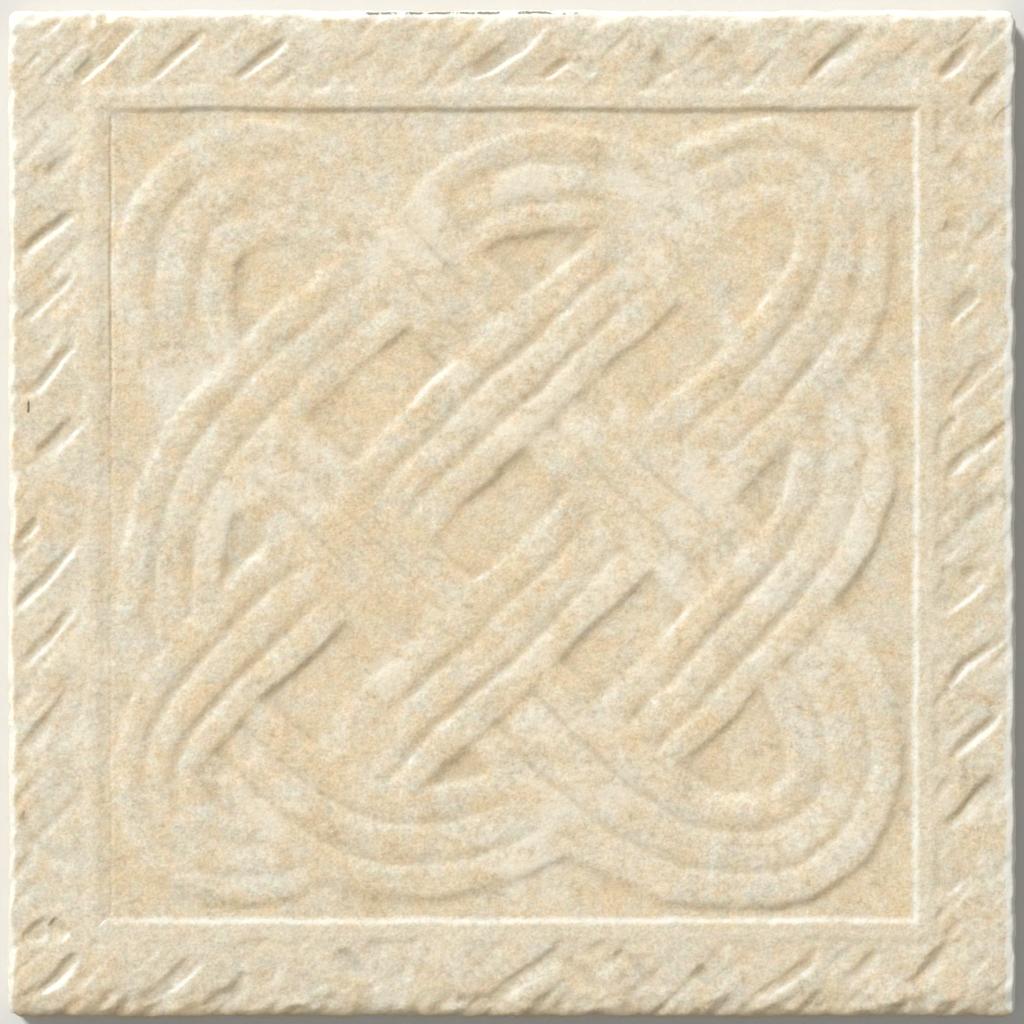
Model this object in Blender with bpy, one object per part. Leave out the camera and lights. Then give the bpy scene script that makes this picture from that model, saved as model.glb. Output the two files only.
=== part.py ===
# Square relief tile, one fired piece of stone-coloured ceramic.
# A flat panel, sunk inside a square fillet, carries an interlace of three closed
# ribbons. Each ribbon has three rounded strands and passes over and under the others
# in turn. The border outside the fillet is cut with slanting grooves, each steep on one
# side, and the tile's edges are worn round and wavy, least on the right and most on the
# bottom. It lies face up, with the back on z = 0.
# Every length below is in millimetres, and the mesh is written in metres.

import bmesh
import bpy
import numpy as np
from mathutils import Vector
from mathutils.geometry import delaunay_2d_cdt

MM = 0.001

# Driving dimensions of the body
TILE_SIDE = 200.0
BORDER_Z = 9.74
BACK_BEVEL = 0.7
CORNER_RADIUS = 2.6
EDGE_WIDTH = 3.6
EDGE_DROP = 1.7
EDGE_RINGS = (0.0, 0.4, 1.4, 3.4, 6.4)
EDGE_STEP = 4.0
EDGE_INSET = 0.17
# Waves along each edge: height, length over a full turn, shift from edge to edge, start
EDGE_WAVES = ((0.07, 9.7, 1.9, 0.0), (0.06, 3.1, 2.7, 0.6), (0.04, 1.7, 0.8, 2.0))
# Angles of the points round a corner, and the least radius it is drawn with
CORNER_TURNS = np.radians((0.0, 30.0, 60.0))
LEAST_RADIUS = 0.05
# Faces that meet at more than this are shaded with a sharp edge
SHARP_EDGE = np.radians(35.0)
# How wide each edge is rounded, as a share of EDGE_WIDTH: right, left, top and bottom
EDGE_WEAR = (0.24, 0.42, 0.9, 1.8)

# Sunken panel and the fillet round it, as half sides of squares about one centre
PANEL_CENTRE = (-0.3, -0.25)
PANEL_HALF = 79.3
PANEL_Z = 9.42
FILLET_INNER_TOP = 81.2
FILLET_OUTER_TOP = 82.9
FILLET_OUTER_FOOT = 85.2
FILLET_Z = 9.86
FILLET_STEP = 10.0

# Section of a ribbon, from its middle (0) to its foot (1)
RIBBON_HEIGHT = 0.51
STRAND_GROOVE = 0.25
STRAND_SHOULDER = 0.06
SECTION = (
    (0.00, RIBBON_HEIGHT),
    (0.19, RIBBON_HEIGHT - STRAND_SHOULDER),
    (0.33, RIBBON_HEIGHT - STRAND_GROOVE),
    (0.47, RIBBON_HEIGHT - STRAND_SHOULDER),
    (0.64, RIBBON_HEIGHT),
    (0.82, RIBBON_HEIGHT - STRAND_SHOULDER),
    (1.00, 0.0),
)
# Line on the panel just outside a ribbon's foot, which keeps its flank straight
FOOT_SHARE = 1.015
# A ribbon reaches its full height over the one below it within this share of its width
COVER_SHARE = 0.18
# At a crossing the upper ribbon rises and the lower one dips by these shares of height
CROSSING_RISE = 0.12
CROSSING_DIP = 0.8
CROSSING_REACH = 14.0
# Lines of the lower ribbon stop inside the upper one, near their crossing
HIDDEN_SHARE = 0.96
HIDDEN_REACH = 28.0
# Spacing of points along a ribbon's lines
SAMPLE_STEP = 0.8
LONGEST_EDGE = 9.0
SHARPEST_TURN = np.radians(9.0)

# Ribbon paths: x, y and half width at points along the middle of each closed ribbon
LOZENGE = (
    (9, 66, 11.25), (25.5, 63, 10), (37.5, 51, 10), (49.5, 38.5, 10),
    (61, 26, 10.5), (65.5, 14.5, 11.25), (64, 2, 11.25), (58.5, -9, 11.5),
    (45, -23.5, 11.5), (32.5, -37, 11.5), (19.5, -49, 11.5), (6, -57.5, 12),
    (-5, -62.5, 12), (-17.5, -65, 12), (-30, -63, 12), (-42, -57, 11.5),
    (-53, -47, 11), (-62.5, -36, 10.5), (-67, -25, 11), (-67, -13, 11.25),
    (-65, 0, 11.25), (-60, 11, 11.25), (-52.5, 20.5, 11.25), (-41.5, 31.5, 11),
    (-29.5, 42, 11), (-19, 52.5, 10.25), (-10, 60, 10.25), (-1, 64.25, 10.75),
)
UPRIGHT = (
    (-62.5, -36, 11.5), (-53, -25.5, 11.75), (-31, -4.5, 11.75), (-9.5, 16.5, 11.75),
    (13, 37.5, 11.75), (24.5, 48, 11.25), (32.5, 58, 10.75), (39.5, 66, 10.25),
    (50, 68.75, 10), (59.5, 66.5, 10), (65.5, 59.5, 10.25), (65.5, 50, 10.75),
    (61.5, 39.5, 12), (52, 27, 12.5), (40.5, 15.5, 12.5), (17.75, -5.25, 12.25),
    (-4, -27, 12.25), (-16.5, -38, 12.25), (-26, -48, 12), (-36, -58, 11),
    (-43.5, -66, 10), (-53, -68.75, 9.5), (-62.5, -66.25, 10), (-68.5, -59.5, 9.5),
    (-70, -51, 9.5), (-67.5, -43.5, 10.25),
)
SLANTING = (
    (-66.5, 45.5, 12.6), (-64.75, 55.25, 13.25), (-57, 63, 13.5), (-46.25, 65.25, 12.75),
    (-35, 62.5, 11.5), (-23, 54.5, 10.75), (-10.5, 41.5, 10.75), (13.5, 17.5, 12),
    (37.5, -6, 12), (48.5, -17, 12), (57, -26.5, 12.25), (63.5, -36, 12.75),
    (66.25, -46, 12.5), (64.25, -57, 12.5), (56.25, -65, 12.5), (46.5, -66.75, 12.5),
    (35, -65.25, 13), (25, -60, 14), (15, -53, 14.25), (5, -43, 14),
    (-6.5, -30.5, 12.75), (-22, -16, 12), (-42, 4, 12), (-54, 16.5, 12),
    (-62, 26.5, 12), (-66, 35.5, 12),
)
RIBBONS = {"lozenge": LOZENGE, "upright": UPRIGHT, "slanting": SLANTING}

# Crossings: the ribbon on top, the ribbon below it, and where their middles cross
CROSSINGS = (
    ("lozenge", "slanting", -61, 22.5),
    ("slanting", "lozenge", -23, 52.5),
    ("upright", "lozenge", -61, -35),
    ("slanting", "upright", -33, -6),
    ("upright", "slanting", -2.5, 25.5),
    ("lozenge", "upright", 30.5, 57),
    ("lozenge", "upright", -40, -60),
    ("upright", "slanting", -14.5, -36),
    ("slanting", "upright", 27.5, 4),
    ("upright", "lozenge", 58, 31.5),
    ("slanting", "lozenge", 13.5, -54),
    ("lozenge", "slanting", 49.5, -20),
)

# Places where the ribbons are rubbed down: x, y, radius, the share of height lost, and
# the ribbon it is lost from
WORN_PLACES = (
    (-34.0, 64.0, 13.0, 0.8, "all"),
    (-55.0, 68.0, 10.0, 0.5, "all"),
    (-64.0, 54.0, 7.0, 0.4, "slanting"),
    (-48.0, 57.0, 7.0, 0.6, "all"),
    (-69.0, 30.0, 7.0, 0.6, "all"),
    (-32.0, 26.0, 9.0, 0.5, "lozenge"),
    (-58.0, 9.0, 12.0, 0.3, "lozenge"),
    (-46.0, 28.0, 11.0, 0.35, "lozenge"),
    (-29.0, 42.0, 8.0, 0.4, "lozenge"),
    (-12.0, 59.0, 8.0, 0.7, "lozenge"),
    (-9.0, 17.0, 9.0, 0.3, "upright"),
    (24.0, 47.0, 7.0, 0.3, "upright"),
    (27.0, 60.0, 12.0, 0.75, "all"),
    (62.0, 40.0, 9.0, 0.45, "upright"),
    (63.0, 1.0, 9.0, 0.25, "lozenge"),
    (64.0, -57.0, 8.0, 0.3, "slanting"),
    (48.0, 57.0, 10.0, 0.75, "all"),
    (44.0, 45.0, 11.0, 0.7, "lozenge"),
    (14.0, 22.0, 9.0, 0.5, "slanting"),
    (-4.0, -31.0, 9.0, 0.5, "slanting"),
    (-31.0, -41.0, 10.0, 0.75, "all"),
    (24.0, -31.0, 7.0, 0.5, "all"),
    (44.0, 22.0, 7.0, 0.4, "all"),
    (-14.0, -2.0, 7.0, 0.5, "all"),
)

# Sections of the border's grooves: depth, then the places across it, from left to
# right, where the left side starts, the bottom lies and the right side ends
GROOVE_SECTIONS = {
    "sharp": (0.32, -1.35, 0.55, 1.85),
    "medium": (0.28, -1.5, 0.6, 2.5),
    "lit": (0.34, -4.2, 0.2, 1.5),
    "soft": (0.34, -1.3, 0.55, 4.2),
}
# Room left between a groove's edge lines and the foot of its sides
GROOVE_CLEARANCE = 1.04
# A groove narrows and fades towards its ends by this power of its distance from them
TAPER_POWER = 0.35
LEAST_TAPER = 0.05
# Grooves cut into the border: the kind of section, and points along the bottom
BORDER_GROOVES = (
    # Top side
    ("lit", (-86, 85.6), (-78, 93), (-74, 97.5)),
    ("sharp", (-71.5, 86.5), (-65.5, 92), (-60.5, 96)),
    ("sharp", (-55, 86), (-49, 91), (-44, 94.5)),
    ("lit", (-8, 86), (-3, 89), (2, 92), (7, 97.5)),
    ("sharp", (5, 86), (11, 90)),
    ("soft", (13.5, 90.5), (16.5, 87.5)),
    ("soft", (28.5, 92), (32, 87.5)),
    ("soft", (39.5, 95), (43.5, 91.5), (48, 86.5)),
    ("soft", (59, 86.5), (64, 91.5), (70.5, 96)),
    ("medium", (84, 87), (87.5, 90), (92, 94)),
    ("soft", (90.5, 81), (96.5, 88)),
    # Bottom side
    ("soft", (-97, -83.5), (-92.5, -80)),
    ("soft", (-91, -80), (-87.5, -83)),
    ("medium", (-97, -95.5), (-92, -93), (-88.5, -89), (-86, -87)),
    ("lit", (-73.5, -96.5), (-67.5, -93.5), (-61.5, -89)),
    ("soft", (-61, -97.5), (-55.5, -94), (-53, -90)),
    ("soft", (-35, -86), (-32, -87), (-27.5, -92)),
    ("soft", (-17.5, -88.5), (-13, -93), (-10.5, -96.5)),
    ("soft", (-6, -95.5), (-1.5, -92.5), (6, -88), (9.5, -85.8)),
    ("soft", (10.5, -87.5), (14.5, -90.5), (18.5, -94.5)),
    ("soft", (21, -86), (25, -88), (31, -93.5)),
    ("soft", (37.5, -89), (42, -94.5)),
    ("medium", (49, -95.5), (54, -92.5), (58.5, -89), (60.5, -86)),
    ("soft", (64, -93.5), (68.5, -90), (72.5, -86.5)),
    ("soft", (77.5, -93.5), (80.5, -92), (84, -87), (86.5, -85), (89.5, -84.5)),
    ("medium", (84, -99), (88, -96.5)),
    # Left side
    ("soft", (-93, 67.5), (-86.5, 73)),
    ("sharp", (-98, 52), (-94, 55), (-86, 60.5)),
    ("sharp", (-96.5, 38.5), (-92.5, 42.5), (-86.5, 48)),
    ("sharp", (-98, 24), (-94.5, 25.5), (-90, 31), (-86.3, 34)),
    ("soft", (-94.5, 12.5), (-86.5, 19.5)),
    ("sharp", (-97.5, -5), (-93.5, -0.5)),
    ("sharp", (-98, -18), (-93.5, -13), (-86.5, -6.5)),
    ("medium", (-97.5, -29.5), (-92, -24), (-86.5, -18.5)),
    ("soft", (-97.5, -47.5), (-94, -42.5), (-86.5, -33)),
    ("soft", (-96.5, -59.5), (-94.5, -64), (-87.5, -69)),
    # Right side
    ("soft", (84.5, 73), (88, 71), (92, 67), (93.5, 64.5)),
    ("soft", (85.5, 57.5), (90, 56.5)),
    ("lit", (85.5, 37.5), (92.5, 44)),
    ("medium", (85.5, 21.5), (92.5, 28), (97.5, 32.5)),
    ("medium", (85.5, 7.5), (89, 11.5), (98, 18)),
    ("soft", (90, -1), (92.5, 2), (96.5, 4)),
    ("soft", (85.5, -10), (88.5, -11.5), (95, -10)),
    ("lit", (85.5, -19.5), (93.5, -12.5)),
    ("sharp", (86, -34), (89, -29.5), (98, -23.5)),
    ("medium", (87, -47.5), (97, -39.5)),
    ("soft", (85.5, -61), (88.5, -59), (92.5, -54.5), (97, -52)),
    ("lit", (85.5, -75.5), (91, -71.5)),
)


def edge_wave(along, side):
    """Inward shift of a worn edge at a distance along it, a sum of waves."""
    waves = [
        height * np.sin(along / length + shift * side + start)
        for height, length, shift, start in EDGE_WAVES
    ]
    return EDGE_INSET + sum(waves)


def depth_inside_edge(points):
    """Distance from the wavy outline over the share of wear there, round at corners."""
    x, y = points[:, 0], points[:, 1]
    half = TILE_SIDE / 2
    right = (half - edge_wave(y, 0) - x) / EDGE_WEAR[0]
    left = (half - edge_wave(y, 1) + x) / EDGE_WEAR[1]
    top = (half - edge_wave(x, 2) - y) / EDGE_WEAR[2]
    bottom = (half - edge_wave(x, 3) + y) / EDGE_WEAR[3]
    across, up = np.minimum(left, right), np.minimum(top, bottom)
    straight = np.minimum(across, up)
    beside, above = CORNER_RADIUS - across, CORNER_RADIUS - up
    in_corner = (beside > 0) & (above > 0)
    return np.where(in_corner, CORNER_RADIUS - np.hypot(beside, above), straight)


def outline_ring(inset):
    """Closed ring of points that lies a given distance inside the wavy outline."""
    radius = max(CORNER_RADIUS - inset, LEAST_RADIUS)
    reach = TILE_SIDE / 2 - inset - radius
    count = int(round(2 * reach / EDGE_STEP))
    along = np.linspace(-reach, reach, count, endpoint=False)
    ring = []
    for side, angle in ((0, 0.0), (2, 90.0), (1, 180.0), (3, 270.0)):
        flip = 1.0 if side in (0, 3) else -1.0
        straight = along + (along[1] - along[0]) / 2
        out = TILE_SIDE / 2 - inset - edge_wave(flip * straight, side)
        corner_x = reach - EDGE_INSET + radius * np.cos(CORNER_TURNS)
        corner_y = reach - EDGE_INSET + radius * np.sin(CORNER_TURNS)
        local = np.r_[np.c_[out, straight], np.c_[corner_x, corner_y]]
        cos, sin = np.cos(np.radians(angle)), np.sin(np.radians(angle))
        ring.append(local @ np.array(((cos, sin), (-sin, cos))))
    return np.vstack(ring)


def square_ring(half, step):
    """Closed square of points about the panel's centre."""
    count = int(round(2 * half / step))
    along = np.linspace(-half, half, count, endpoint=False)
    edge = np.c_[np.full(count, half), along]
    quarter_turn = np.array(((0.0, 1.0), (-1.0, 0.0)))
    sides = [edge]
    for _ in range(3):
        sides.append(sides[-1] @ quarter_turn)
    return np.vstack(sides) + PANEL_CENTRE


def smooth_loop(stations):
    """Closed cubic curve through the stations, in steps of about SAMPLE_STEP."""
    middle = np.array(stations, float)
    before, after, next_after = (np.roll(middle, shift, 0) for shift in (1, -1, -2))
    count = int(np.hypot(*(after - middle)[:, :2].T).mean() / SAMPLE_STEP)
    t = np.linspace(0.0, 1.0, count, endpoint=False)[None, :, None]
    a, b, c, d = (part[:, None, :] for part in (before, middle, after, next_after))
    curve = 2 * b + (c - a) * t
    curve = curve + (2 * a - 5 * b + 4 * c - d) * t**2 + (3 * b - a - 3 * c + d) * t**3
    return 0.5 * curve.reshape(-1, 3)


def offset_line(curve, share):
    """Line beside a ribbon's middle, at a share of its half width."""
    along = np.roll(curve, -1, 0)[:, :2] - np.roll(curve, 1, 0)[:, :2]
    along = along / np.linalg.norm(along, axis=1, keepdims=True)
    across = np.c_[-along[:, 1], along[:, 0]]
    return curve[:, :2] + across * (curve[:, 2:] * share)


def nearest_on_path(points, path):
    """Distance to a line of points, how far along it the nearest place is (0 to 1), and
    1 or -1 for the line's right or left side."""
    start, step = path[:-1], np.diff(path, axis=0)
    length_squared = (step**2).sum(1)
    best = np.full(len(points), np.inf)
    where, side = np.zeros(len(points)), np.ones(len(points))
    for i in range(len(start)):
        away = points - start[i]
        share = np.clip((away @ step[i]) / length_squared[i], 0.0, 1.0)
        gap = np.linalg.norm(away - share[:, None] * step[i], axis=1)
        closer = gap < best
        best[closer] = gap[closer]
        where[closer] = (i + share[closer]) / len(start)
        side[closer] = np.where(away[closer] @ (step[i][1], -step[i][0]) > 0, 1, -1)
    return best, where, side


def share_of_ribbon(points, curve):
    """Place across a ribbon: 0 on its middle, 1 on its foot, more outside it."""
    loop = np.vstack((curve, curve[:1]))
    gap, where, _ = nearest_on_path(points, loop[:, :2])
    width = np.interp(where * (len(loop) - 1), np.arange(len(loop)), loop[:, 2])
    return gap / width


def band_height(points):
    """Height of the border, fillet and panel, without grooves, ribbons and worn edge."""
    square = np.abs(points - PANEL_CENTRE).max(axis=1)
    halves = (PANEL_HALF, FILLET_INNER_TOP, FILLET_OUTER_TOP, FILLET_OUTER_FOOT)
    return np.interp(square, halves, (PANEL_Z, FILLET_Z, FILLET_Z, BORDER_Z))


def groove_depth(points, groove):
    """Depth of one border groove, which fades at its ends."""
    depth, left_start, bottom, right_end = GROOVE_SECTIONS[groove[0]]
    gap, where, side = nearest_on_path(points, np.array(groove[1:], float))
    taper = np.clip(4 * where * (1 - where), LEAST_TAPER, 1.0) ** TAPER_POWER
    across = gap * side / taper
    return depth * taper * np.interp(across, (left_start, bottom, right_end), (0.0, 1.0, 0.0))


def share_kept(points, name):
    """Share of one ribbon's height that wear has left at each point."""
    kept = np.ones(len(points))
    for x, y, reach, loss, worn in WORN_PLACES:
        if worn in ("all", name):
            away = np.linalg.norm(points - (x, y), axis=1)
            kept *= 1 - loss * np.exp(-((away / reach) ** 4))
    return kept


def face_height(points, curves):
    """Height of the tile's face: bands, worn edge, grooves and crossing ribbons."""
    z = band_height(points)
    depth = depth_inside_edge(points)
    fall = np.clip(1 - depth / EDGE_WIDTH, 0.0, 1.0)
    z = z - EDGE_DROP * (1 - np.sqrt(1 - fall**2))
    square = np.abs(points - PANEL_CENTRE).max(axis=1)
    fade = np.interp(square, (FILLET_OUTER_TOP, FILLET_OUTER_FOOT), (0.0, 1.0))
    z = z - fade * np.max([groove_depth(points, groove) for groove in BORDER_GROOVES], axis=0)

    section = np.array(SECTION)
    shares = {name: share_of_ribbon(points, curve) for name, curve in curves.items()}
    places = np.array([(x, y) for _, _, x, y in CROSSINGS], float)
    gaps = np.linalg.norm(points[:, None] - places[None], axis=2)
    nearest = gaps.argmin(axis=1)
    closeness = np.exp(-(gaps.min(axis=1) / CROSSING_REACH) ** 2)
    kept = {name: share_kept(points, name) for name in curves}
    for index, (over, under, _, _) in enumerate(CROSSINGS):
        here = nearest == index
        third = next(name for name in curves if name not in (over, under))
        lifts = {third: 0.0, under: -CROSSING_DIP, over: CROSSING_RISE}
        for name, lift in lifts.items():
            share = shares[name]
            inside = here & (share < 1)
            lower = z[inside] - PANEL_Z
            own = np.interp(share[inside], section[:, 0], section[:, 1]) * kept[name][inside]
            own *= 1 + lift * closeness[inside]
            cover = np.clip((1 - share[inside]) / COVER_SHARE, 0.0, 1.0)
            z[inside] = PANEL_Z + own * cover + lower * (1 - cover)
    return z


def thin_out(line):
    """Keep the points that a line needs, by its turns and by the longest edge allowed."""
    keep = [0]
    turned, travelled = 0.0, 0.0
    for i in range(1, len(line) - 1):
        step, ahead = line[i] - line[i - 1], line[i + 1] - line[i]
        turned += abs(Vector(step).angle_signed(Vector(ahead), 0.0))
        travelled += np.linalg.norm(step)
        if turned > SHARPEST_TURN or travelled > LONGEST_EDGE:
            keep.append(i)
            turned, travelled = 0.0, 0.0
    return line[keep + [len(line) - 1]]


def visible_lines(name, curves):
    """Lines along one ribbon's strands, broken where another ribbon lies over it."""
    stations = [share for share, _ in SECTION[:-1]] + [FOOT_SHARE]
    shares = sorted({sign * share for share in stations for sign in (-1, 1)})
    lines = []
    for share in shares:
        line = offset_line(curves[name], share)
        hidden = np.zeros(len(line), bool)
        for over, under, x, y in CROSSINGS:
            if under == name:
                near = np.hypot(line[:, 0] - x, line[:, 1] - y) < HIDDEN_REACH
                hidden |= near & (share_of_ribbon(line, curves[over]) < HIDDEN_SHARE)
        first = int(np.flatnonzero(hidden)[0])
        line, hidden = np.roll(line, -first, 0), np.roll(hidden, -first)
        starts = np.flatnonzero(hidden & ~np.roll(hidden, -1))
        ends = np.flatnonzero(hidden & ~np.roll(hidden, 1))
        ends = np.r_[ends[ends > 0], len(line)]
        wrapped = np.vstack((line, line[:1]))
        for start in starts:
            end = ends[ends > start][0]
            lines.append(thin_out(wrapped[start:end + 1]))
    return lines


def groove_lines(groove):
    """Bottom line of a border groove and its two edges, all meeting at its ends."""
    _, left_start, bottom, right_end = GROOVE_SECTIONS[groove[0]]
    path = np.array(groove[1:], float)
    steps = np.arange(len(path))
    where = np.linspace(0.0, 1.0, 2 * len(path) - 1)
    middle = np.c_[[np.interp(where * steps[-1], steps, path[:, axis]) for axis in (0, 1)]].T
    along = np.gradient(middle, axis=0)
    along = along / np.linalg.norm(along, axis=1, keepdims=True)
    taper = (4 * where * (1 - where)) ** TAPER_POWER
    to_right = np.c_[along[:, 1], -along[:, 0]] * taper[:, None]
    reaches = (GROOVE_CLEARANCE * left_start, bottom, GROOVE_CLEARANCE * right_end)
    return [middle + to_right * reach for reach in reaches]


def feature_lines(curves):
    """All lines that the face's mesh follows, each with a flag for a closed ring."""
    lines = [(outline_ring(inset), True) for inset in EDGE_RINGS]
    halves = (PANEL_HALF, FILLET_INNER_TOP, FILLET_OUTER_TOP, FILLET_OUTER_FOOT)
    lines += [(square_ring(half, FILLET_STEP), True) for half in halves]
    lines += [(line, False) for name in curves for line in visible_lines(name, curves)]
    lines += [(line, False) for groove in BORDER_GROOVES for line in groove_lines(groove)]
    return lines


def face_mesh(curves):
    """Triangles of the face seen from above, inside the outline."""
    points, edges = [], []
    for line, closed in feature_lines(curves):
        first = len(points)
        points += [Vector(point) for point in line]
        edges += [(i, i + 1) for i in range(first, len(points) - 1)]
        if closed:
            edges.append((len(points) - 1, first))
    inside_constraints, merge_within = 1, 0.05
    result = delaunay_2d_cdt(points, edges, [], inside_constraints, merge_within)
    flat = np.array([(point.x, point.y) for point in result[0]])
    return flat, result[2]


def make_tile():
    """One closed body: the face, a wall dropped from its rim, and the flat back."""
    curves = {name: smooth_loop(stations) for name, stations in RIBBONS.items()}
    flat, faces = face_mesh(curves)
    heights = face_height(flat, curves)

    form = bmesh.new()
    corners = [form.verts.new((x * MM, y * MM, z * MM)) for (x, y), z in zip(flat, heights)]
    for face in faces:
        form.faces.new([corners[i] for i in face])
    bmesh.ops.delete(form, geom=[v for v in form.verts if not v.link_faces], context="VERTS")

    bevel_scale = 1 - 2 * BACK_BEVEL / TILE_SIDE
    for level, scale in ((BACK_BEVEL, 1.0), (0.0, bevel_scale)):
        rim = [edge for edge in form.edges if len(edge.link_faces) == 1]
        grown = bmesh.ops.extrude_edge_only(form, edges=rim)["geom"]
        for vert in (item for item in grown if isinstance(item, bmesh.types.BMVert)):
            vert.co = (vert.co.x * scale, vert.co.y * scale, level * MM)
    rim = [edge for edge in form.edges if len(edge.link_faces) == 1]
    back = bmesh.ops.contextual_create(form, geom=rim)["faces"]
    bmesh.ops.triangulate(form, faces=back)
    bmesh.ops.recalc_face_normals(form, faces=form.faces)

    mesh = bpy.data.meshes.new("tile")
    form.to_mesh(mesh)
    form.free()
    mesh.shade_smooth()
    mesh.set_sharp_from_angle(angle=SHARP_EDGE)
    return mesh


def make_ceramic():
    """Matt, stone-coloured ceramic body."""
    ceramic = bpy.data.materials.new("ceramic_body")
    ceramic.use_nodes = True
    shader = ceramic.node_tree.nodes["Principled BSDF"]
    shader.inputs["Base Color"].default_value = (0.74, 0.64, 0.47, 1.0)
    shader.inputs["Roughness"].default_value = 0.8
    shader.inputs["Metallic"].default_value = 0.0
    return ceramic


for item in list(bpy.data.objects):
    bpy.data.objects.remove(item)

tile_mesh = make_tile()
tile_mesh.materials.append(make_ceramic())
tile = bpy.data.objects.new("tile", tile_mesh)
bpy.context.scene.collection.objects.link(tile)
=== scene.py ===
# Looks of the relief tile: its carved and worn face, its mottled ceramic, floor, light and camera.
import math

import bpy
import numpy as np
from mathutils import Matrix, Vector


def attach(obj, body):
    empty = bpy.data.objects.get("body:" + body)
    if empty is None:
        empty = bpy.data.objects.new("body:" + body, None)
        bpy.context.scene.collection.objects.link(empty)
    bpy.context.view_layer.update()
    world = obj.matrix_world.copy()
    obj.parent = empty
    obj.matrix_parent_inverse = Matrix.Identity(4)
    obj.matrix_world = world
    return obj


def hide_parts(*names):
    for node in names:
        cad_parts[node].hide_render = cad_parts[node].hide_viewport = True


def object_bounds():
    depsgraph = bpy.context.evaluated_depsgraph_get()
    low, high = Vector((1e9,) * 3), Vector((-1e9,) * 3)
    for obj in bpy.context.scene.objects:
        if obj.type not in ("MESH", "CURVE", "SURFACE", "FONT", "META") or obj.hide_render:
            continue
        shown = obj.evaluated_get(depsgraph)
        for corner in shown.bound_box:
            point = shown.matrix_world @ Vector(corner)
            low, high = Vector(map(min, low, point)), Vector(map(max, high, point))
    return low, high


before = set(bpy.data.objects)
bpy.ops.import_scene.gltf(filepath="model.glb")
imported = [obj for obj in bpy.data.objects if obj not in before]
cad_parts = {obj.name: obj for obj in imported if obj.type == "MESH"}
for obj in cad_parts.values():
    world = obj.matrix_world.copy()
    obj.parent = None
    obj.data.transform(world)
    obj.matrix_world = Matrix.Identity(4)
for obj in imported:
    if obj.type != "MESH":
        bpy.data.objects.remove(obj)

cadLow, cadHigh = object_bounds()
millimetre = 0.001

# What a user would change on the tile, in millimetres
tileShape = {
    "side": 200.0,
    "borderTop": 9.74,
    "cornerRadius": 2.6,
    "edgeInset": 0.17,
    "edgeMargin": 0.04,
    "edgeWaves": ((0.07, 9.7, 1.9, 0.0), (0.06, 3.1, 2.7, 0.6), (0.04, 1.7, 0.8, 2.0)),
    "edgeWidth": 3.6,
    "edgeDrop": 1.7,
    "edgeWear": (0.24, 0.42, 0.9, 1.8),
    "chipDepth": 0.32,
    "edgeRaggedness": 0.6,
    "raggedLimits": (0.3, 2.0),
    "cornerWear": 0.8,
    "cornerWearFrom": 91.0,
    "cornerWearTo": 99.0,
    "wallRoughness": 0.05,
    "backBevel": 0.7,
    "panelCentre": (-0.3, -0.25),
    "panelHalf": 79.3,
    "panelFloor": 9.42,
    "filletInnerTop": 81.2,
    "filletOuterTop": 82.9,
    "filletOuterFoot": 85.2,
    "filletTop": 9.86,
    "leftWallWidth": 3.0,
    "leftFloorRise": 0.2,
    "leftRiseReach": 4.0,
    "leftCrease": 0.11,
    "creaseWidth": 0.35,
    "creaseInset": 0.3,
    "creaseDeepens": (10.0, 35.0),
    "creaseLevels": (0.6, 0.8),
    "grooveTaper": 0.35,
    "grooveEndWidth": 0.35,
    "ribbonHeight": 0.51,
    "ribbonFlank": 2.3,
    "strandCrown": 0.07,
    "strandGroove": 0.25,
    "strandGrooveReach": 1.2,
    "crossingRise": 0.12,
    "crossingDip": 0.8,
    "crossingReach": 14.0,
    "streaks": 0.16,
    "streakStretch": 3.2,
    "streakLimits": (-0.1, 0.9),
    "wear": 0.25,
    "wearLevel": 0.5,
    "wander": 0.5,
    "wornWander": 2.0,
    "bandWander": 0.175,
    "unevenness": 0.04,
    "borderLumps": 0.12,
    "panelStep": 0.9,
    "borderStep": 0.46,
    "filletStep": 0.26,
    "edgeStep": 0.32,
    "fineBelowWall": 1.3,
    "fineAboveWall": 0.9,
    "fineBesideEdge": 0.6,
    "stretchReach": 8.0,
    "pathSteps": 7,
    "wallRows": 4,
}

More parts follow.
